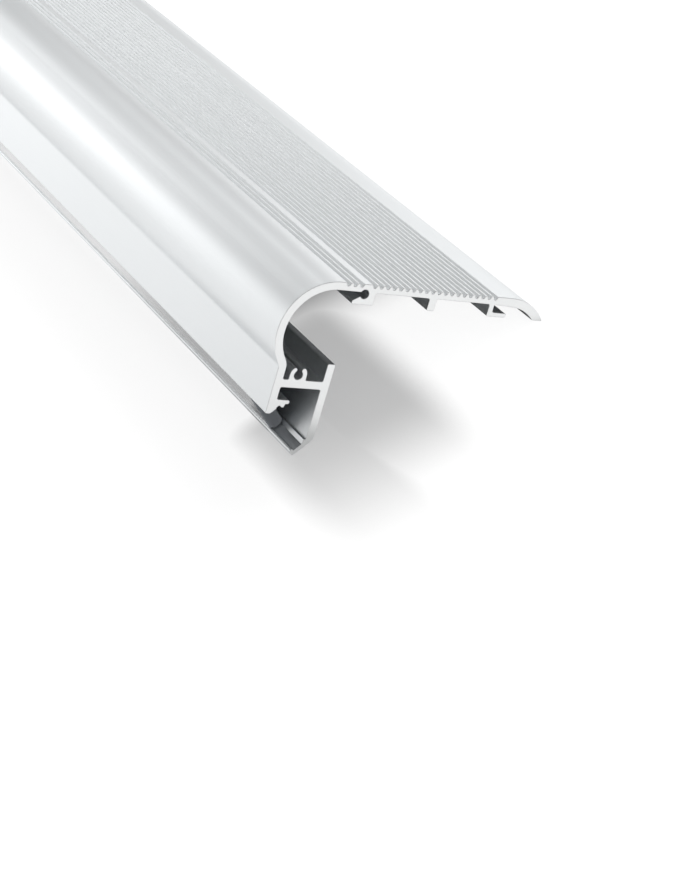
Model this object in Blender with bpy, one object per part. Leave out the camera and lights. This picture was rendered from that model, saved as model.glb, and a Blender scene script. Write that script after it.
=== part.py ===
"""Stair nosing: an aluminium extrusion with a bullnose, a ribbed tread and an LED channel, and its cover.

The sections are drawn in their working position: u runs back from the front of the nose, v runs up, and
the tread surface is at v = 0. They are extruded along Y, then turned to lie on the floor on the profile's
lip and tail, with the origin under the middle of its box. Sizes are in metres.
"""

import math

import bmesh
import bpy
from mathutils import Vector
from mathutils.geometry import convex_hull_2d

# Whole profile
LENGTH = 1.0
DEPTH = 0.070
PLATE = 0.0020
SEAT_DROP = 0.0050

# Bullnose and front wall
NOSE_RADIUS = 0.0130
WALL = 0.0020
WALL_SETBACK = 0.0030
WAIST_RADIUS = 0.0020
WALL_FOOT_DROP = 0.0333

# Ribbed tread: a front group of grooves, a flat band, then grooves up to the plain tail strip
GROOVE_PITCH = 0.00175
GROOVE_TOP = 0.0013
GROOVE_FLOOR = 0.0005
GROOVE_DEPTH = 0.0008
GROOVE_ROUNDING = 0.00015
FIRST_GROOVE = 0.01480
FRONT_GROOVES = 3
BAND = 0.00212
TAIL_STRIP = 0.0043

# Curved tail
TAIL_RUN = 0.0100
TAIL_WALL = 0.0022

# L-shaped rib by the tail, with a foot that lies on the step
TAIL_RIB_INSET = 0.0061
TAIL_RIB_WEB = 0.0013
TAIL_RIB_REACH = 0.0054
TAIL_RIB_FOOT = 0.00105

# Plain rib under the middle of the tread
MID_RIB_SETBACK = 0.03715
MID_RIB_WIDTH = 0.0020

# Bore of both screw places: the slot in the hook and the port on the web
SCREW_RADIUS = 0.00113

# Hook under the band, whose round slot takes an end screw
SLOT_SETBACK = 0.0196
SLOT_SKIN = 0.00132
SLOT_LIP_ANGLE = math.radians(212.0)
HOOK_BACK = 0.00176
HOOK_LIP_REACH = 0.00275
HOOK_LIP_END = 0.00084

# Web over the LED channel, and the leg behind it
CHANNEL_WIDTH = 0.01055
WEB = 0.0020
WEB_DROP = 0.0246
LEG = 0.0020
LEG_RISE = 0.0045

# Open screw port on the web
PORT_OFFSET = 0.0037
PORT_FLOOR = 0.0001
PORT_WALL = 0.0011
PORT_SLOT = 0.0013

# Front side of the channel's sloping mouth: the foot of the wall, a pocket, a barb and a shelf
MOUTH_SLOPE = math.radians(45.0)
FOOT_LAND = 0.00125
POCKET_START = 0.0018
POCKET_END = 0.00295
POCKET_RELIEF = 0.00027
BARB_LAND = 0.0005
BARB_REACH = 0.00093
BARB_RISE = 0.00034
BARB_BACK = 0.0003
SHELF_RISE = 0.0026
SHELF = 0.0010
SHELF_REACH = 0.0034

# Rear side of the mouth: a ridge below the leg, and a thin lip with a bead along its free edge
COVER_SEAT = 0.0024
RIDGE_RISE = 0.0010
RIDGE_REACH = 0.00085
LIP = 0.0010
LIP_HEEL_RADIUS = 0.0030
BEAD_REACH = 0.00055
BEAD_DROP = 0.0010

# Clip-in cover in the mouth, between the pocket and the seat, and set back from the profile's ends
COVER_GAP = 0.0003
COVER_RECESS = 0.0106
COVER_PROUD = 0.0005

# Rounding of the corners, and how far a facet may stand off its arc
EDGE_RADIUS = 0.0003
INNER_RADIUS = 0.0004
CLIP_ROUNDING = 0.00015
FACET_DEPTH = 0.000006

# Finishes: colour, roughness and metallic value
SATIN_ANODISED = ((0.80, 0.82, 0.83, 1.0), 0.35, 1.0)
MILKY_PLASTIC = ((0.42, 0.44, 0.47, 1.0), 0.30, 0.0)
SHARP_ANGLE = math.radians(30.0)

# Places that several features share
WALL_BACK = WALL_SETBACK + WALL
LEG_FRONT = WALL_BACK + CHANNEL_WIDTH
LEG_BACK = LEG_FRONT + LEG
TAIL_START = DEPTH - TAIL_RUN
MOUTH_FOOT = Vector((WALL_SETBACK + FOOT_LAND, -WALL_FOOT_DROP))
MOUTH_ALONG = Vector((math.cos(MOUTH_SLOPE), -math.sin(MOUTH_SLOPE)))
MOUTH_INWARD = Vector((math.sin(MOUTH_SLOPE), math.cos(MOUTH_SLOPE)))
RIDGE_DEPTH = COVER_SEAT + RIDGE_RISE
MOUTH_WIDTH = (LEG_FRONT - MOUTH_FOOT.x - RIDGE_DEPTH * MOUTH_INWARD.x) / MOUTH_ALONG.x


def arc(center, radius, start, end):
    """Points from angle start to angle end, in as many chords as the facet depth asks for."""
    chord_angle = 2.0 * math.acos(1.0 - FACET_DEPTH / radius)
    count = max(2, math.ceil(abs(end - start) / chord_angle))
    angles = [start + (end - start) * i / count for i in range(count + 1)]
    return [center + radius * Vector((math.cos(angle), math.sin(angle))) for angle in angles]


def round_corner(before, corner, after, radius):
    """The arc that replaces a corner, and takes up at most half of each neighbouring edge."""
    to_before, to_after = before - corner, after - corner
    half = to_before.angle(to_after) / 2.0
    trim = min(radius / math.tan(half), to_before.length / 2.0, to_after.length / 2.0)
    fitted = trim * math.tan(half)
    bisector = (to_before.normalized() + to_after.normalized()).normalized()
    center = corner + bisector * (fitted / math.sin(half))
    spoke = corner + to_before.normalized() * trim - center
    start = math.atan2(spoke.y, spoke.x)
    turn = math.copysign(math.pi - 2.0 * half, to_after.cross(to_before))
    return arc(center, fitted, start, start + turn)


def rounded(corners):
    """Turns a closed chain of (point, radius) into points, with an arc at each corner that has a radius."""
    points = []
    for i, (corner, radius) in enumerate(corners):
        before, after = corners[i - 1][0], corners[(i + 1) % len(corners)][0]
        points += round_corner(before, corner, after, radius) if radius else [corner]
    return points


def at(u, v, radius=0.0):
    """One corner of the section."""
    return Vector((u, v)), radius


def mouth(across, inward, radius=0.0):
    """One corner given from the front wall's foot: across the sloping mouth, and in towards the channel."""
    return MOUTH_FOOT + across * MOUTH_ALONG + inward * MOUTH_INWARD, radius


def drawn(points):
    """The points of an arc as corners that need no rounding."""
    return [(point, 0.0) for point in points]


def groove_centres():
    """Centres of the front grooves, and of as many rear ones as fit before the plain tail strip."""
    front = [FIRST_GROOVE + i * GROOVE_PITCH for i in range(FRONT_GROOVES)]
    first_rear = front[-1] + GROOVE_TOP + BAND
    room = TAIL_START - TAIL_STRIP - GROOVE_TOP / 2.0 - first_rear
    return front + [first_rear + i * GROOVE_PITCH for i in range(int(room / GROOVE_PITCH) + 1)]


def tread_surface():
    """Grooves along the top of the plate, from the nose to the tail."""
    corners = []
    for centre in groove_centres():
        corners += [
            at(centre - GROOVE_TOP / 2.0, 0.0, GROOVE_ROUNDING),
            at(centre - GROOVE_FLOOR / 2.0, -GROOVE_DEPTH, GROOVE_ROUNDING),
            at(centre + GROOVE_FLOOR / 2.0, -GROOVE_DEPTH, GROOVE_ROUNDING),
            at(centre + GROOVE_TOP / 2.0, 0.0, GROOVE_ROUNDING),
        ]
    return corners


def tail():
    """Tail that curves down from the tread surface to the plane of the step, and back underneath."""
    radius = (TAIL_RUN**2 + SEAT_DROP**2) / (2.0 * SEAT_DROP)
    center = Vector((TAIL_START, -radius))
    height = radius - SEAT_DROP
    inner = radius - TAIL_WALL
    top = arc(center, radius, math.pi / 2.0, math.asin(height / radius))
    under = arc(center, inner, math.asin(height / inner), math.pi / 2.0)
    return drawn(top[:-1]) + [(top[-1], EDGE_RADIUS), (under[0], EDGE_RADIUS)] + drawn(under[1:])


def tail_rib():
    """L-shaped rib whose foot points to the tail."""
    front = TAIL_START - TAIL_RIB_INSET
    back = front + TAIL_RIB_WEB
    toe = front + TAIL_RIB_REACH
    foot_top = TAIL_RIB_FOOT - SEAT_DROP
    return [
        at(back, -PLATE, INNER_RADIUS),
        at(back, foot_top, INNER_RADIUS),
        at(toe, foot_top, TAIL_RIB_FOOT / 2.0),
        at(toe, -SEAT_DROP, TAIL_RIB_FOOT / 2.0),
        at(front, -SEAT_DROP, EDGE_RADIUS),
        at(front, -PLATE, INNER_RADIUS),
    ]


def mid_rib():
    """Plain rib under the middle of the tread."""
    back = MID_RIB_SETBACK + MID_RIB_WIDTH
    return [
        at(back, -PLATE, INNER_RADIUS),
        at(back, -SEAT_DROP, EDGE_RADIUS),
        at(MID_RIB_SETBACK, -SEAT_DROP, EDGE_RADIUS),
        at(MID_RIB_SETBACK, -PLATE, INNER_RADIUS),
    ]


def hook():
    """Hook whose round slot reaches up into the plate and opens to the front."""
    center = Vector((SLOT_SETBACK, -SLOT_SKIN - SCREW_RADIUS))
    back = SLOT_SETBACK + SCREW_RADIUS + HOOK_BACK
    tip = SLOT_SETBACK - HOOK_LIP_REACH
    plate_angle = math.pi - math.asin((-PLATE - center.y) / SCREW_RADIUS)
    return [
        at(back, -PLATE, INNER_RADIUS),
        at(back, -SEAT_DROP, EDGE_RADIUS),
        at(tip, -SEAT_DROP, EDGE_RADIUS),
        at(tip, HOOK_LIP_END - SEAT_DROP, EDGE_RADIUS),
        *drawn(arc(center, SCREW_RADIUS, SLOT_LIP_ANGLE, plate_angle + 2.0 * math.pi)),
    ]


def nose_side(radius, waist_radius):
    """One side of the bullnose, from the tread plate round the front and the waist to the straight wall."""
    nose = Vector((NOSE_RADIUS, -NOSE_RADIUS))
    across = NOSE_RADIUS - WALL_SETBACK + WAIST_RADIUS
    below = math.sqrt((NOSE_RADIUS + WAIST_RADIUS) ** 2 - across**2)
    waist = nose - Vector((across, below))
    joint = math.pi + math.atan2(below, across)
    return arc(nose, radius, math.pi / 2.0, joint) + arc(waist, waist_radius, joint - math.pi, 0.0)[1:]


def screw_port():
    """Open screw port on the web, from its front foot round the bore to its back foot."""
    center = Vector((WALL_BACK + PORT_OFFSET, PORT_FLOOR + SCREW_RADIUS - WEB_DROP))
    outer, mean = SCREW_RADIUS + PORT_WALL, SCREW_RADIUS + PORT_WALL / 2.0
    lean = math.asin((PORT_SLOT + PORT_WALL) / (2.0 * mean))
    front, back = math.pi / 2.0 + lean, math.pi / 2.0 - lean
    front_tip = center + mean * Vector((math.cos(front), math.sin(front)))
    back_tip = center + mean * Vector((math.cos(back), math.sin(back)))
    outline = arc(center, outer, math.pi, front)
    outline += arc(front_tip, PORT_WALL / 2.0, front, front - math.pi)[1:]
    outline += arc(center, SCREW_RADIUS, front, back + 2.0 * math.pi)[1:]
    outline += arc(back_tip, PORT_WALL / 2.0, back + math.pi, back)[1:]
    outline += arc(center, outer, back, 0.0)[1:]
    return [
        at(center.x - outer, -WEB_DROP, EDGE_RADIUS),
        *drawn(outline),
        at(center.x + outer, -WEB_DROP, EDGE_RADIUS),
    ]


def leg_and_lip():
    """Leg over its top edge and down its back, round the thin lip, and in over the ridge."""
    heel_depth = (LEG_BACK - MOUTH_FOOT.x - (MOUTH_WIDTH + LIP) * MOUTH_ALONG.x) / MOUTH_INWARD.x
    ridge = mouth(MOUTH_WIDTH - RIDGE_REACH, RIDGE_DEPTH, CLIP_ROUNDING)
    return [
        at(LEG_FRONT, -WEB_DROP, INNER_RADIUS),
        at(LEG_FRONT, LEG_RISE - WEB_DROP, EDGE_RADIUS),
        at(LEG_BACK, LEG_RISE - WEB_DROP, EDGE_RADIUS),
        mouth(MOUTH_WIDTH + LIP, heel_depth, LIP_HEEL_RADIUS),
        mouth(MOUTH_WIDTH + LIP, -BEAD_DROP, LIP / 2.0),
        mouth(MOUTH_WIDTH - BEAD_REACH, -BEAD_DROP, BEAD_DROP / 2.0),
        mouth(MOUTH_WIDTH - BEAD_REACH, 0.0, CLIP_ROUNDING),
        mouth(MOUTH_WIDTH, 0.0, CLIP_ROUNDING),
        mouth(MOUTH_WIDTH, COVER_SEAT, CLIP_ROUNDING),
        ridge,
        at(LEG_FRONT, ridge[0].y, CLIP_ROUNDING),
    ]


def front_clip():
    """Inside of the channel and its front side, down over the shelf, the barb and the pocket to the foot."""
    ceiling = -WEB_DROP - WEB
    shelf_under = SHELF_RISE - WALL_FOOT_DROP
    shelf_end = WALL_BACK + SHELF_REACH
    barb = mouth(BARB_REACH, POCKET_END + BARB_RISE, CLIP_ROUNDING)
    return [
        at(LEG_FRONT, ceiling, INNER_RADIUS),
        at(WALL_BACK, ceiling, INNER_RADIUS),
        at(WALL_BACK, shelf_under + SHELF, INNER_RADIUS),
        at(shelf_end, shelf_under + SHELF, SHELF / 2.0),
        at(shelf_end, shelf_under, SHELF / 2.0),
        at(barb[0].x + BARB_BACK, shelf_under, CLIP_ROUNDING),
        barb,
        mouth(BARB_LAND, POCKET_END, CLIP_ROUNDING),
        mouth(0.0, POCKET_END, CLIP_ROUNDING),
        mouth(-POCKET_RELIEF, POCKET_END - POCKET_RELIEF, CLIP_ROUNDING),
        mouth(-POCKET_RELIEF, POCKET_START + POCKET_RELIEF, CLIP_ROUNDING),
        mouth(0.0, POCKET_START, CLIP_ROUNDING),
        mouth(0.0, 0.0, CLIP_ROUNDING),
        at(WALL_SETBACK, -WALL_FOOT_DROP, EDGE_RADIUS),
    ]


def profile_section():
    """The profile's outline as one closed chain, clockwise from the back of the bullnose."""
    outside = nose_side(NOSE_RADIUS, WAIST_RADIUS)
    inside = nose_side(NOSE_RADIUS - WALL, WAIST_RADIUS + WALL)
    corners = tread_surface() + tail() + tail_rib() + mid_rib() + hook() + drawn(inside)
    corners += [at(WALL_BACK, -WEB_DROP, INNER_RADIUS)] + screw_port() + leg_and_lip()
    corners += front_clip() + drawn(reversed(outside))
    return rounded(corners)


def cover_section():
    """The cover's outline, from its front edge over the nib, the flat inner side and the seat to the bead."""
    front = BARB_REACH + COVER_GAP
    nib = COVER_GAP - POCKET_RELIEF
    inner = RIDGE_DEPTH - COVER_GAP
    back = MOUTH_WIDTH - RIDGE_REACH - COVER_GAP
    foot = MOUTH_WIDTH - COVER_GAP
    bead = MOUTH_WIDTH - BEAD_REACH - COVER_GAP
    return rounded([
        mouth(COVER_GAP, -COVER_PROUD, EDGE_RADIUS),
        mouth(COVER_GAP, POCKET_START + COVER_GAP / 2.0, CLIP_ROUNDING),
        mouth(nib, POCKET_START + POCKET_RELIEF + COVER_GAP / 2.0, CLIP_ROUNDING),
        mouth(nib, POCKET_END - COVER_GAP, CLIP_ROUNDING),
        mouth(front, POCKET_END - COVER_GAP, CLIP_ROUNDING),
        mouth(front, inner, CLIP_ROUNDING),
        mouth(back, inner, CLIP_ROUNDING),
        mouth(foot, COVER_SEAT - COVER_GAP / 2.0, CLIP_ROUNDING),
        mouth(foot, COVER_GAP, CLIP_ROUNDING),
        mouth(bead, COVER_GAP, CLIP_ROUNDING),
        mouth(bead, -COVER_PROUD, EDGE_RADIUS),
    ])


def extrude_section(name, outline, length, material):
    """Extrudes the outline along Y, centred on the origin."""
    shape = bmesh.new()
    loop = [shape.verts.new((point.x, -length / 2.0, point.y)) for point in outline]
    end_face = shape.faces.new(loop)
    extruded = bmesh.ops.extrude_face_region(shape, geom=[end_face], use_keep_orig=True)
    moved = [item for item in extruded["geom"] if isinstance(item, bmesh.types.BMVert)]
    bmesh.ops.translate(shape, verts=moved, vec=(0.0, length, 0.0))
    bmesh.ops.recalc_face_normals(shape, faces=shape.faces[:])
    mesh = bpy.data.meshes.new(name)
    shape.to_mesh(mesh)
    shape.free()
    mesh.shade_smooth()
    mesh.set_sharp_from_angle(angle=SHARP_ANGLE)
    mesh.materials.append(material)
    piece = bpy.data.objects.new(name, mesh)
    bpy.context.scene.collection.objects.link(piece)
    return piece


def lay_on_floor(pieces, outline):
    """Turns the pieces until the outline's longest hull edge, from lip to tail, lies on the floor."""
    hull = [outline[i] for i in convex_hull_2d(outline)]
    edges = [(hull[i - 1], hull[i]) for i in range(len(hull))]
    ends = max(edges, key=lambda edge: (edge[1] - edge[0]).length)
    run = max(ends, key=lambda end: end.x) - min(ends, key=lambda end: end.x)
    tilt = math.atan2(run.y, run.x)
    across = [point.x * math.cos(tilt) + point.y * math.sin(tilt) for point in outline]
    floor = min(point.y * math.cos(tilt) - point.x * math.sin(tilt) for point in outline)
    for piece in pieces:
        piece.rotation_euler = (0.0, tilt, 0.0)
        piece.location = (-(min(across) + max(across)) / 2.0, 0.0, -floor)


def finish(name, color, roughness, metallic):
    """A plain material."""
    material = bpy.data.materials.new(name)
    material.use_nodes = True
    shader = material.node_tree.nodes["Principled BSDF"]
    shader.inputs["Base Color"].default_value = color
    shader.inputs["Roughness"].default_value = roughness
    shader.inputs["Metallic"].default_value = metallic
    return material


def main():
    """Clears the scene and builds the nosing with its cover."""
    for thing in list(bpy.data.objects):
        bpy.data.objects.remove(thing)
    outline = profile_section()
    metal = finish("anodised_aluminium", *SATIN_ANODISED)
    plastic = finish("milky_plastic", *MILKY_PLASTIC)
    profile = extrude_section("nosing_profile", outline, LENGTH, metal)
    cover_length = LENGTH - 2.0 * COVER_RECESS
    cover = extrude_section("diffuser_cover", cover_section(), cover_length, plastic)
    lay_on_floor((profile, cover), outline)


main()
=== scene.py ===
"""Looks of the stair nosing: satin anodised aluminium and a milky cover, on a white floor.

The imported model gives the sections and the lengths. Each piece made here follows its section
exactly, takes the sharp edge off both of its cut ends, and wears two finishes: one along it and one
on the cuts. The floor, the softboxes and the room are the stage around it. All sizes are in metres
and all angles in degrees. A pattern is given in cells for each metre where its name says so.
"""

import functools
import logging
import math
from abc import ABC, abstractmethod
from collections.abc import Mapping
from dataclasses import dataclass
from enum import Enum

import bmesh
import bpy
from mathutils import Matrix, Vector

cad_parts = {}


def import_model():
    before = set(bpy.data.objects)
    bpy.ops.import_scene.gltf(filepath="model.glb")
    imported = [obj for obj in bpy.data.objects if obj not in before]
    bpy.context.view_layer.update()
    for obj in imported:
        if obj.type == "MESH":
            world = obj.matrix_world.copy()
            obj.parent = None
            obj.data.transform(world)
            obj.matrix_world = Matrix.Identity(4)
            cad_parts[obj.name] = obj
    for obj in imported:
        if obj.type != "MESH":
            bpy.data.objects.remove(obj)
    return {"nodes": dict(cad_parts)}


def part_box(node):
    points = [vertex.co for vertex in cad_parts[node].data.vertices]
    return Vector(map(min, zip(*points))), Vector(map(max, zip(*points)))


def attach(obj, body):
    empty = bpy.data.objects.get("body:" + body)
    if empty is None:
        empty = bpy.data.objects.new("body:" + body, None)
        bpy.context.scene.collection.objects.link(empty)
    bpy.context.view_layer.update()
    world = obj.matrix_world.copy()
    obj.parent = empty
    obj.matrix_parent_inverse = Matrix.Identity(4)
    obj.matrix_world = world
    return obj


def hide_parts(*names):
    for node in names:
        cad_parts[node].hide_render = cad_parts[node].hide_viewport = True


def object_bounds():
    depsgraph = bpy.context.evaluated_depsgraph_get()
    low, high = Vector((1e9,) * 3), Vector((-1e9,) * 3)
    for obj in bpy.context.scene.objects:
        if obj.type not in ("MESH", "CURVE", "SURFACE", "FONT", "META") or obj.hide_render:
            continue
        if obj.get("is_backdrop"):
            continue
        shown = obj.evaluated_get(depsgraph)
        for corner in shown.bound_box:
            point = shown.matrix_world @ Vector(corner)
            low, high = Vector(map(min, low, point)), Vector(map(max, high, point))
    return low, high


Colour = tuple[float, float, float]
Place = tuple[float, float, float]
Edges = tuple[float, float, float, float]

LOG = logging.getLogger("stair_nosing")

EVEN_MIX = 0.5
NOISE_ROUGHNESS = 0.55

# Numbers of the Mix node's sockets for colours, whose names also stand for its other kinds.
MIX_FACTOR, MIX_DARK, MIX_LIGHT = 0, 6, 7
MIXED_COLOUR = 2


class Axis(Enum):
    """Directions of the profile as it lies on the floor."""

    ACROSS = 0
    ALONG = 1
    UP = 2


class Layer(Enum):
    """Material slots of a piece."""

    SKIN = 0
    CUT = 1


class Ray(Enum):
    """Kinds of ray that can be told apart, by the names of Light Path's outputs."""

    CAMERA = "Is Camera Ray"
    GLOSSY = "Is Glossy Ray"
    TRANSMISSION = "Is Transmission Ray"


class Sight(Enum):
    """Who sees a soft patch of painted shade on the floor."""

    ALL = "all rays"
    DIRECT = "the camera"
    MIRRORED = "the metal and the plastic"


class Signal:
    """A number that changes over a surface: one output socket, whose arithmetic adds Math nodes."""

    def __init__(self, graph: "Graph", socket: bpy.types.NodeSocket) -> None:
        """Keeps the graph and the socket that this signal stands for."""
        self.graph = graph
        self.socket = socket

    def __add__(self, other: "Signal | float") -> "Signal":
        """Sum with a signal or a number."""
        return self.graph.math("ADD", self, other)

    def __sub__(self, other: "Signal | float") -> "Signal":
        """Difference from a signal or a number."""
        return self.graph.math("SUBTRACT", self, other)

    def __rsub__(self, other: float) -> "Signal":
        """A number less this signal."""
        return self.graph.math("SUBTRACT", other, self)

    def __mul__(self, other: "Signal | float") -> "Signal":
        """Product with a signal or a number."""
        return self.graph.math("MULTIPLY", self, other)

    def __neg__(self) -> "Signal":
        """This signal with its sign turned."""
        return self * -1.0

    __radd__ = __add__
    __rmul__ = __mul__

    def larger(self, other: "Signal | float") -> "Signal":
        """The larger of this signal and another."""
        return self.graph.math("MAXIMUM", self, other)

    def sine(self) -> "Signal":
        """Sine of this signal, taken in radians."""
        return self.graph.math("SINE", self)

    def rise(self, start: float, end: float) -> "Signal":
        """Smooth step up.

        Args:
            start: The value up to which the step is 0.
            end: The value from which it is 1.

        Returns:
            The step as a signal.
        """
        values = {"Value": self, "From Min": start, "From Max": end}
        node = self.graph.node("ShaderNodeMapRange", {"interpolation_type": "SMOOTHSTEP"}, values)
        return Signal(self.graph, node.outputs["Result"])


class Graph:
    """A node tree under construction."""

    def __init__(self, tree: bpy.types.NodeTree) -> None:
        """Takes over a tree and empties it.

        Args:
            tree: The node tree of a material or a world.
        """
        self.tree = tree
        self.tree.nodes.clear()

    def node(
        self,
        kind: str,
        settings: Mapping[str, object] | None = None,
        values: Mapping[str | int, object] | None = None,
    ) -> bpy.types.Node:
        """Adds one node of any type.

        Args:
            kind: The node's type name.
            settings: The node's own properties, set before its sockets.
            values: A constant, a signal or another socket for each named or numbered input.

        Returns:
            The new node.
        """
        node = self.tree.nodes.new(kind)
        for name, setting in (settings or {}).items():
            setattr(node, name, setting)
        for name, value in (values or {}).items():
            self.feed(node.inputs[name], value)
        return node

    def feed(self, socket: bpy.types.NodeSocket, value: object) -> None:
        """Links or sets one input.

        Args:
            socket: The input to feed.
            value: A signal or an output socket to link, or a constant to set.
        """
        if isinstance(value, Signal):
            value = value.socket
        if isinstance(value, bpy.types.NodeSocket):
            self.tree.links.new(value, socket)
        elif isinstance(value, tuple) and socket.type == "RGBA":
            socket.default_value = (*value, 1.0)
        else:
            socket.default_value = value

    def math(
        self, operation: str, first: "Signal | float", second: "Signal | float" = 0.0
    ) -> Signal:
        """Adds a Math node and returns its result."""
        node = self.node("ShaderNodeMath", {"operation": operation}, {0: first, 1: second})
        return Signal(self, node.outputs[0])

    def seen_by(self, ray: Ray) -> Signal:
        """1 for one kind of ray and 0 for every other."""
        return Signal(self, self.node("ShaderNodeLightPath").outputs[ray.value])

    def place(self, kind: str) -> bpy.types.NodeSocket:
        """Where the shaded point is, by the name of one of Texture Coordinate's outputs."""
        return self.node("ShaderNodeTexCoord").outputs[kind]

    def split(self, vector: bpy.types.NodeSocket) -> list[Signal]:
        """The three parts of a vector, in the order of Axis."""
        node = self.node("ShaderNodeSeparateXYZ", None, {0: vector})
        return [Signal(self, node.outputs[axis.value]) for axis in Axis]

    def stretched(self, cells: Place) -> bpy.types.NodeSocket:
        """Places on the piece, scaled apart for each direction.

        Args:
            cells: Pattern cells for each metre across, along and up.

        Returns:
            The scaled position as a vector output.
        """
        values = {0: self.place("Object"), 1: cells}
        return self.node("ShaderNodeVectorMath", {"operation": "MULTIPLY"}, values).outputs[0]

    def noise(self, cells: Place, detail: float) -> Signal:
        """Smooth noise around zero, from about -1 to 1.

        Args:
            cells: Pattern cells for each metre across, along and up.
            detail: How many finer layers the noise has.

        Returns:
            The noise as a signal.
        """
        values = {
            "Vector": self.stretched(cells),
            "Scale": 1.0,
            "Detail": detail,
            "Roughness": NOISE_ROUGHNESS,
        }
        node = self.node("ShaderNodeTexNoise", {"noise_dimensions": "3D"}, values)
        return Signal(self, node.outputs["Fac"]) * 2.0 - 1.0

    def shade(
        self,
        dark: Colour | bpy.types.NodeSocket,
        light: Colour | bpy.types.NodeSocket,
        factor: Signal,
    ) -> bpy.types.NodeSocket:
        """Mixes two colours.

        Args:
            dark: Colour where the factor is 0, or the output that gives it.
            light: Colour where the factor is 1, or the output that gives it.
            factor: The mix, clamped to 0 and 1 by the node.

        Returns:
            The mixed colour.
        """
        settings = {"data_type": "RGBA", "clamp_factor": True}
        values = {MIX_FACTOR: factor, MIX_DARK: dark, MIX_LIGHT: light}
        return self.node("ShaderNodeMix", settings, values).outputs[MIXED_COLOUR]

    def bump(self, height: Signal, depth: float) -> bpy.types.NodeSocket:
        """Turns a height into a normal.

        Args:
            height: The surface's height, as a share of the depth.
            depth: How far a height of 1 stands out.

        Returns:
            The bumped normal.
        """
        values = {"Distance": depth, "Height": height}
        return self.node("ShaderNodeBump", None, values).outputs["Normal"]

    def both(self, first: bpy.types.Node, second: bpy.types.Node) -> bpy.types.Node:
        """Adds the light of two shaders."""
        values = {0: first.outputs[0], 1: second.outputs[0]}
        return self.node("ShaderNodeAddShader", None, values)


class Finish(ABC):
    """A named look. A subclass adds its nodes, and this class makes a material of them."""

    name: str

    @abstractmethod
    def surface(self, graph: Graph) -> bpy.types.Node:
        """Adds the look's own nodes.

        Args:
            graph: The material's empty node tree.

        Returns:
            The shader that they end in.
        """

    def material(self) -> bpy.types.Material:
        """Builds the finish.

        Returns:
            The material.
        """
        made = bpy.data.materials.new(self.name)
        made.use_nodes = True
        graph = Graph(made.node_tree)
        shader = self.surface(graph)
        graph.node("ShaderNodeOutputMaterial", None, {"Surface": shader.outputs[0]})
        return made


@dataclass(frozen=True)
class SatinAnodised(Finish):
    """Anodised skin: even satin metal, with faint lines that the die drew along the length.

    A tone says how far a pattern moves the mix of dark and light, and a gloss how far it moves the
    roughness.
    """

    name: str = "satin_anodised"
    dark: Colour = (0.775, 0.795, 0.805)
    light: Colour = (0.825, 0.845, 0.855)
    roughness: float = 0.40
    band_width: float = 0.0024
    band_tone: float = 0.35
    band_gloss: float = 0.03
    line_width: float = 0.00035
    line_run: float = 0.25
    line_depth: float = 0.0000012
    line_tone: float = 0.25
    line_gloss: float = 0.04
    grain: float = 0.00012
    grain_depth: float = 0.0000008
    grain_gloss: float = 0.02
    cloud_cells: Place = (18.0, 6.0, 18.0)
    cloud_tone: float = 0.25

    def surface(self, graph: Graph) -> bpy.types.Node:
        """Adds the nodes of the satin metal.

        Args:
            graph: The material's empty node tree.

        Returns:
            The closing shader.
        """
        run = 1.0 / self.line_run
        band_cells, line_cells = 1.0 / self.band_width, 1.0 / self.line_width
        bands = graph.noise((band_cells, run, band_cells), detail=2.0)
        lines = graph.noise((line_cells, run, line_cells), detail=3.0)
        grain = graph.noise((1.0 / self.grain,) * 3, detail=1.0)
        clouds = graph.noise(self.cloud_cells, detail=2.0)
        tone = bands * self.band_tone + lines * self.line_tone + clouds * self.cloud_tone
        gloss = bands * self.band_gloss + lines * self.line_gloss + grain * self.grain_gloss
        height = lines + grain * (self.grain_depth / self.line_depth)
        values = {
            "Base Color": graph.shade(self.dark, self.light, EVEN_MIX + tone),
            "Metallic": 1.0,
            "Roughness": self.roughness + gloss,
            "Normal": graph.bump(height, self.line_depth),
        }
        return graph.node("ShaderNodeBsdfPrincipled", None, values)


@dataclass(frozen=True)
class SawnMetal(Finish):
    """Bare metal of a saw cut: paler and rougher, with the blade's arcs across it.

    A bend says how far a pattern shifts the arcs, in radians of one stroke.
    """

    name: str = "sawn_metal"
    dark: Colour = (0.80, 0.81, 0.81)
    light: Colour = (0.90, 0.91, 0.91)
    roughness: float = 0.45
    blade_centre: Place = (0.060, 0.0, -0.150)
    stroke: float = 0.00042
    stroke_depth: float = 0.0000025
    stroke_tone: float = 0.16
    stroke_gloss: float = 0.04
    grain: float = 0.00018
    grain_height: float = 0.8
    grain_bend: float = 1.2
    grain_tone: float = 0.2
    grain_gloss: float = 0.05
    patch_cells: float = 260.0
    patch_bend: float = 2.5
    patch_tone: float = 0.2

    def surface(self, graph: Graph) -> bpy.types.Node:
        """Adds the nodes of the sawn metal.

        Args:
            graph: The material's empty node tree.

        Returns:
            The closing shader.
        """
        on_cut = {0: graph.stretched((1.0, 0.0, 1.0)), 1: self.blade_centre}
        reach = graph.node("ShaderNodeVectorMath", {"operation": "DISTANCE"}, on_cut)
        grain = graph.noise((1.0 / self.grain,) * 3, detail=3.0)
        patches = graph.noise((self.patch_cells,) * 3, detail=2.0)
        turns = Signal(graph, reach.outputs["Value"]) * (2.0 * math.pi / self.stroke)
        arcs = (turns + patches * self.patch_bend + grain * self.grain_bend).sine()
        tone = arcs * self.stroke_tone + grain * self.grain_tone + patches * self.patch_tone
        gloss = arcs * self.stroke_gloss + grain * self.grain_gloss
        values = {
            "Base Color": graph.shade(self.dark, self.light, EVEN_MIX + tone),
            "Metallic": 1.0,
            "Roughness": self.roughness + gloss,
            "Normal": graph.bump(arcs + grain * self.grain_height, self.stroke_depth),
        }
        return graph.node("ShaderNodeBsdfPrincipled", None, values)


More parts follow.
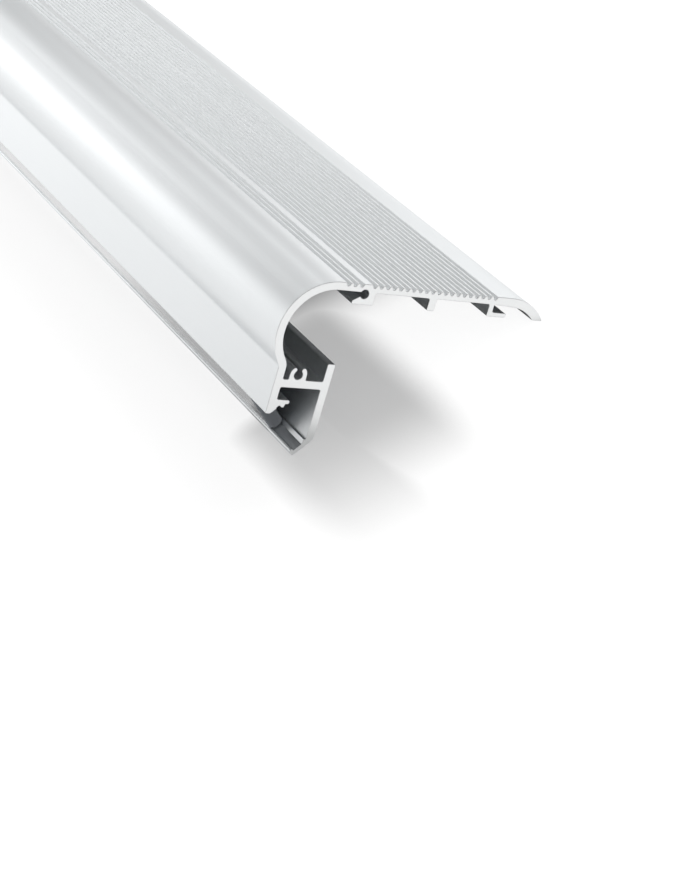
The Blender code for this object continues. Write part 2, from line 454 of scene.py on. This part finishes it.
@dataclass(frozen=True)
class MilkyPlastic(Finish):
    """Translucent plastic with a smooth skin, cloudy enough to hide what is behind it."""

    name: str = "milky_plastic"
    dark: Colour = (0.27, 0.285, 0.31)
    light: Colour = (0.33, 0.345, 0.37)
    roughness: float = 0.16
    light_path: float = 0.0035
    path_share: Colour = (1.0, 1.0, 1.0)
    clear_skin: float = 0.8
    clear_roughness: float = 0.08
    line_width: float = 0.0009
    line_run: float = 0.4
    line_depth: float = 0.0000008
    line_tone: float = 0.2
    line_gloss: float = 0.03
    cloud_cells: Place = (120.0, 20.0, 120.0)
    cloud_tone: float = 0.5
    cloud_gloss: float = 0.03

    def surface(self, graph: Graph) -> bpy.types.Node:
        """Adds the nodes of the plastic.

        Args:
            graph: The material's empty node tree.

        Returns:
            The closing shader.
        """
        line_cells = 1.0 / self.line_width
        lines = graph.noise((line_cells, 1.0 / self.line_run, line_cells), detail=2.0)
        clouds = graph.noise(self.cloud_cells, detail=2.0)
        tone = clouds * self.cloud_tone + lines * self.line_tone
        gloss = lines * self.line_gloss + clouds * self.cloud_gloss
        values = {
            "Base Color": graph.shade(self.dark, self.light, EVEN_MIX + tone),
            "Roughness": self.roughness + gloss,
            "Subsurface Weight": 1.0,
            "Subsurface Radius": self.path_share,
            "Subsurface Scale": self.light_path,
            "Coat Weight": self.clear_skin,
            "Coat Roughness": self.clear_roughness,
            "Normal": graph.bump(lines, self.line_depth),
        }
        settings = {"subsurface_method": "RANDOM_WALK"}
        return graph.node("ShaderNodeBsdfPrincipled", settings, values)


@dataclass
class Extrusion:
    """A straight length with a packed section, and with the sharp edge taken off both cut ends."""

    node: str
    piece: str
    slot: str
    skin: Finish
    cut: Finish
    edge_break: float = 0.00009
    longest_mitre: float = 1.3
    smooth_up_to: float = 40.0
    same_place: int = 7
    end_slack: float = 0.000001

    def section(self, packed: bpy.types.Mesh, near: float) -> list[Vector]:
        """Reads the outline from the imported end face.

        Args:
            packed: The CAD node's mesh.
            near: Where the near end lies along the profile.

        Returns:
            The outline's points as (across, up), with the material on the left of each step.
        """
        spots = [
            tuple(round(part, self.same_place) for part in vertex.co) for vertex in packed.vertices
        ]
        steps = set()
        for face in packed.polygons:
            corners = [spots[i] for i in face.vertices]
            if all(abs(corner[Axis.ALONG.value] - near) < self.end_slack for corner in corners):
                steps |= {(corners[i - 1], corners[i]) for i in range(len(corners))}
        border = {start: end for start, end in steps if (end, start) not in steps}
        outline = [min(border)]
        while border[outline[-1]] != outline[0]:
            outline.append(border[outline[-1]])
        return [Vector((spot[Axis.ACROSS.value], spot[Axis.UP.value])) for spot in outline]

    def set_in(self, outline: list[Vector]) -> list[Vector]:
        """Moves the outline into the material by the broken edge.

        Args:
            outline: The section's points.

        Returns:
            As many points, each moved along the bisector of its corner.
        """
        moved = []
        for i, point in enumerate(outline):
            before = (point - outline[i - 1]).normalized()
            after = (outline[(i + 1) % len(outline)] - point).normalized()
            inward = Vector((-before.y - after.y, before.x + after.x)).normalized()
            mitre = 1.0 / max(inward.dot(Vector((-after.y, after.x))), 1.0 / self.longest_mitre)
            moved.append(point + inward * self.edge_break * mitre)
        return moved

    def mesh(self, outline: list[Vector], near: float, far: float) -> bpy.types.Mesh:
        """Builds the closed body.

        Args:
            outline: The section's points.
            near: Where the near end lies along the profile.
            far: Where the far end lies along the profile.

        Returns:
            The mesh, with the two finishes in the slots that Layer names.
        """
        shape = bmesh.new()
        inner = self.set_in(outline)
        stations = [
            (inner, near),
            (outline, near + self.edge_break),
            (outline, far - self.edge_break),
            (inner, far),
        ]
        rings = [[shape.verts.new((p.x, along, p.y)) for p in points] for points, along in stations]
        shape.faces.new(rings[0]).material_index = Layer.CUT.value
        shape.faces.new(reversed(rings[-1])).material_index = Layer.CUT.value
        for front, back, layer in zip(rings, rings[1:], (Layer.CUT, Layer.SKIN, Layer.CUT)):
            for i in range(len(outline)):
                face = shape.faces.new((front[i], front[i - 1], back[i - 1], back[i]))
                face.material_index = layer.value
        made = bpy.data.meshes.new(self.piece)
        shape.to_mesh(made)
        shape.free()
        made.shade_smooth()
        made.set_sharp_from_angle(angle=math.radians(self.smooth_up_to))
        return made

    def build(self, nodes: Mapping[str, bpy.types.Object]) -> bpy.types.Object:
        """Makes the piece, dresses it and puts it in the place of its CAD node.

        Args:
            nodes: The frame's CAD nodes by name.

        Returns:
            The finished piece.
        """
        low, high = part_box(self.node)
        outline = self.section(nodes[self.node].data, low.y)
        piece = bpy.data.objects.new(self.piece, self.mesh(outline, low.y, high.y))
        bpy.context.scene.collection.objects.link(piece)
        even = piece.modifiers.new("even_normals", "WEIGHTED_NORMAL")
        even.mode = "FACE_AREA"
        even.keep_sharp = True
        for finish in (self.skin, self.cut):
            piece.data.materials.append(finish.material())
        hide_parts(self.node)
        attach(piece, "root")
        return piece


def square(side: float, finish: Finish) -> bpy.types.Object:
    """Makes a flat square around the origin, named after its finish.

    Args:
        side: Length of each edge.
        finish: What the square is made of.

    Returns:
        The square, facing up.
    """
    shape = bmesh.new()
    bmesh.ops.create_grid(shape, x_segments=1, y_segments=1, size=side / 2.0)
    mesh = bpy.data.meshes.new(finish.name)
    shape.to_mesh(mesh)
    shape.free()
    mesh.materials.append(finish.material())
    made = bpy.data.objects.new(finish.name, mesh)
    bpy.context.scene.collection.objects.link(made)
    return made


@dataclass(frozen=True)
class PaintedShade:
    """Soft patch of painted shade on the floor, placed where the profile would shade it.

    Across and along, its four edges say where it starts, where it is full, where it starts to fade
    and where it ends. The depth is the share of the white that it takes away.
    """

    across: Edges
    along: Edges
    depth: float
    sight: Sight = Sight.ALL

    def mask(self, across: Signal, along: Signal) -> Signal:
        """How much of the white the patch takes away.

        Args:
            across: The place across the profile.
            along: The place along the profile.

        Returns:
            The depth inside the patch, and 0 well outside it.
        """
        part = self.depth
        for place, (start, full, fade, end) in ((across, self.across), (along, self.along)):
            part = part * place.rise(start, full) * (1.0 - place.rise(fade, end))
        return part


@dataclass(frozen=True)
class FloorPaint(Finish):
    """Paint that the lamps light, with a glow on top that makes it a white background.

    Only the camera, mirrors and clear matter see the glow. No shadow falls on it, so soft patches
    of painted shade take it away under the profile and beside it.
    """

    name: str = "studio_floor"
    paint: Colour = (0.35, 0.35, 0.35)
    glow: Colour = (0.90, 0.90, 0.90)
    black: Colour = (0.0, 0.0, 0.0)
    painted_shades: tuple[PaintedShade, ...] = (
        # Painted shadow under the tread plate, all along.
        PaintedShade((-0.030, -0.018, 0.020, 0.034), (-0.470, -0.430, 0.500, 0.540), 1.0),
        # Painted shadow beside the lip, all along.
        PaintedShade((-0.085, -0.045, -0.034, -0.020), (-0.540, -0.500, 0.500, 0.540), 0.14),
        # Painted shadow in front of the near cut and beside the leg, as the camera sees it.
        PaintedShade(
            (-0.048, -0.032, -0.020, -0.012), (-0.556, -0.500, -0.486, -0.474), 0.52, Sight.DIRECT
        ),
        # Painted shadow behind the leg, as the camera sees it.
        PaintedShade(
            (-0.030, -0.020, -0.004, 0.008), (-0.540, -0.500, -0.460, -0.430), 0.54, Sight.DIRECT
        ),
        # Painted shade hidden from the camera: darkens what the near end of the cover mirrors.
        PaintedShade(
            (-0.042, -0.034, -0.024, -0.016), (-0.492, -0.485, -0.479, -0.468), 0.88, Sight.MIRRORED
        ),
        # Painted shade hidden from the camera: darkens what the lip and the cover mirror further
        # on.
        PaintedShade(
            (-0.066, -0.046, -0.026, -0.020), (-0.520, -0.505, -0.450, -0.360), 0.58, Sight.MIRRORED
        ),
        # Painted shade hidden from the camera: darkens what the hollow and the ribs mirror
        # under the tread plate's near end.
        PaintedShade(
            (-0.024, -0.016, 0.034, 0.040), (-0.503, -0.497, -0.430, -0.420), 1.0, Sight.MIRRORED
        ),
    )

    def surface(self, graph: Graph) -> bpy.types.Node:
        """Adds the nodes of the paint, of its glow and of the painted shade on the glow.

        Args:
            graph: The material's empty node tree.

        Returns:
            The closing shader.
        """
        camera, glossy, through = (graph.seen_by(ray) for ray in Ray)
        across, along, _ = graph.split(graph.place("Object"))
        share = {Sight.ALL: 1.0, Sight.DIRECT: camera, Sight.MIRRORED: 1.0 - camera}
        # Painted shade: each patch takes part of the glow away, for the rays that its sight names.
        painted_shade_masks = [shade.mask(across, along) * share[shade.sight] for shade in self.painted_shades]
        white = graph.shade(self.black, self.glow, 1.0 - functools.reduce(Signal.larger, painted_shade_masks))
        seen = camera.larger(glossy).larger(through)
        paint = graph.node("ShaderNodeBsdfDiffuse", None, {"Color": self.paint})
        glow = graph.node("ShaderNodeEmission", None, {"Color": white, "Strength": seen})
        return graph.both(paint, glow)


@dataclass
class WhiteFloor:
    """Pale floor with patches of painted shade, which runs well out of the picture."""

    side: float = 12.0
    finish: Finish = FloorPaint()

    def build(self) -> bpy.types.Object:
        """Makes the floor.

        Returns:
            The floor, marked as no part of the object.
        """
        floor = square(self.side, self.finish)
        floor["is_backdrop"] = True
        return floor


@dataclass(frozen=True)
class GlowingCloth(Finish):
    """Thin lit cloth, brightest in the middle, which adds its light to what lies behind it."""

    name: str
    side: float
    radiance: float
    colour: Colour = (1.0, 1.0, 1.0)

    def surface(self, graph: Graph) -> bpy.types.Node:
        """Adds the nodes of the glow, which falls off as a square does from each middle line.

        Args:
            graph: The material's empty node tree.

        Returns:
            The closing shader.
        """
        wide, high, _ = graph.split(graph.stretched((2.0 / self.side,) * 3))
        fade = (1.0 - wide * wide) * (1.0 - high * high)
        values = {"Color": self.colour, "Strength": fade * self.radiance}
        glow = graph.node("ShaderNodeEmission", None, values)
        return graph.both(glow, graph.node("ShaderNodeBsdfTransparent"))


@dataclass(frozen=True)
class Softbox:
    """A square lamp of glowing cloth, turned to the profile's near end."""

    name: str
    place: Place
    radiance: float
    side: float = 0.6
    aim: Place = (0.0, -0.45, 0.02)

    def build(self) -> bpy.types.Object:
        """Makes the lamp, hidden from the camera alone.

        Returns:
            The lamp, marked as no part of the object.
        """
        lamp = square(self.side, GlowingCloth(self.name, self.side, self.radiance))
        lamp.location = self.place
        towards = Vector(self.aim) - Vector(self.place)
        lamp.rotation_euler = towards.to_track_quat("Z", "Y").to_euler()
        lamp.visible_camera = False
        lamp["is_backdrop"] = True
        return lamp


@dataclass
class Softlight:
    """The softboxes round the far half of the profile, which its satin shows as soft bands."""

    boxes: tuple[Softbox, ...] = (
        Softbox("left_wide_softbox", (-0.80, 0.70, 0.25), 1.16, side=1.2),
        Softbox("left_far_softbox", (-0.60, 0.85, 0.30), 0.72),
        Softbox("left_deep_softbox", (-0.45, 1.30, 0.30), 2.53),
        Softbox("left_raised_softbox", (-0.35, 0.85, 0.55), 1.04),
        Softbox("left_high_softbox", (-0.60, 0.55, 0.75), 0.42),
        Softbox("back_middle_softbox", (-0.10, 0.80, 0.70), 1.34),
        Softbox("back_high_softbox", (0.10, 0.75, 0.85), 1.15),
        Softbox("right_raised_softbox", (0.35, 0.45, 0.55), 0.86),
        Softbox("right_high_softbox", (0.65, 0.50, 0.75), 1.15),
        Softbox("right_far_softbox", (0.65, 0.75, 0.25), 0.54),
        Softbox("right_low_softbox", (0.75, 0.10, 0.25), 1.92),
    )

    def build(self) -> list[bpy.types.Object]:
        """Makes the lamps in order and returns them."""
        return [box.build() for box in self.boxes]


@dataclass
class Room:
    """Even pale light from all round, walls that the metal shows, and a white background.

    The walls are dim on the far side and grow pale towards the near side.
    """

    name: str = "studio_room"
    light: Colour = (0.50, 0.50, 0.50)
    dim_wall: Colour = (0.16, 0.16, 0.16)
    pale_wall: Colour = (0.65, 0.65, 0.65)
    last_dim: float = 0.2
    first_pale: float = 0.9
    background: Colour = (1.0, 1.0, 1.0)

    def build(self) -> bpy.types.World:
        """Makes the world and gives it to the scene.

        Returns:
            The world.
        """
        world = bpy.data.worlds.new(self.name)
        world.use_nodes = True
        graph = Graph(world.node_tree)
        camera, glossy, through = (graph.seen_by(ray) for ray in Ray)
        _, along, _ = graph.split(graph.place("Generated"))
        nearness = (-along).rise(self.last_dim, self.first_pale)
        walls = graph.shade(self.dim_wall, self.pale_wall, nearness)
        around = graph.shade(self.light, walls, glossy.larger(through))
        colour = graph.shade(around, self.background, camera)
        back = graph.node("ShaderNodeBackground", None, {"Color": colour, "Strength": 1.0})
        graph.node("ShaderNodeOutputWorld", None, {"Surface": back.outputs[0]})
        bpy.context.scene.world = world
        return world


@dataclass
class ViewingAngle:
    """Camera that looks along the profile from above its sawn end.

    The azimuth turns the view from along the profile towards its tail, the downward angle tips it
    to the floor, and the roll turns the picture. The aim is the point in the picture's middle.
    """

    name: str = "viewing_angle"
    azimuth: float = 17.052
    downward: float = 36.180
    roll: float = -18.156
    aim: Place = (-0.019256, -0.503411, 0.0)
    distance: float = 0.563233
    lens_mm: float = 101.496

    def build(self) -> bpy.types.Object:
        """Makes the camera and gives it to the scene.

        Returns:
            The camera.
        """
        azimuth, downward, roll = map(math.radians, (self.azimuth, self.downward, self.roll))
        view = Vector(
            (
                math.sin(azimuth) * math.cos(downward),
                math.cos(azimuth) * math.cos(downward),
                -math.sin(downward),
            )
        )
        level = view.cross(Vector((0.0, 0.0, 1.0))).normalized()
        right = level * math.cos(roll) + level.cross(view) * math.sin(roll)
        turn = Matrix((right, right.cross(view), -view)).transposed().to_4x4()
        data = bpy.data.cameras.new(self.name)
        data.lens = self.lens_mm
        camera = bpy.data.objects.new(self.name, data)
        camera.matrix_world = Matrix.Translation(Vector(self.aim) - view * self.distance) @ turn
        bpy.context.scene.collection.objects.link(camera)
        bpy.context.scene.camera = camera
        return camera


def box_now() -> list[list[float]]:
    """Lowest and highest corner of what is shown, as plain lists."""
    bpy.context.view_layer.update()
    return [list(corner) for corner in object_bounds()]


def main() -> None:
    """Loads the frame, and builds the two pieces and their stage."""
    logging.basicConfig(level=logging.INFO, format="%(name)s: %(message)s")
    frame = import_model()
    packed_box = box_now()
    metal = (SatinAnodised(), SawnMetal())
    plastic = (MilkyPlastic(), MilkyPlastic("cut_plastic", roughness=0.35, clear_skin=0.0))
    extrusions = (
        Extrusion("nosing_profile", "nosing_extrusion", "anodised_aluminium", *metal),
        Extrusion("diffuser_cover", "cover_extrusion", "milky_plastic", *plastic),
    )
    for extrusion in extrusions:
        piece = extrusion.build(frame["nodes"])
        LOG.info("%s: %d faces", piece.name, len(piece.data.polygons))
    WhiteFloor().build()
    Room().build()
    for lamp in Softlight().build():
        LOG.info("%s: stands %.2f m along the profile", lamp.name, lamp.location.y)
    ViewingAngle().build()
    bpy.context.scene.view_settings.view_transform = "Standard"
    {"packed": packed_box, "dressed": box_now()}


if __name__ == "__main__":
    main()
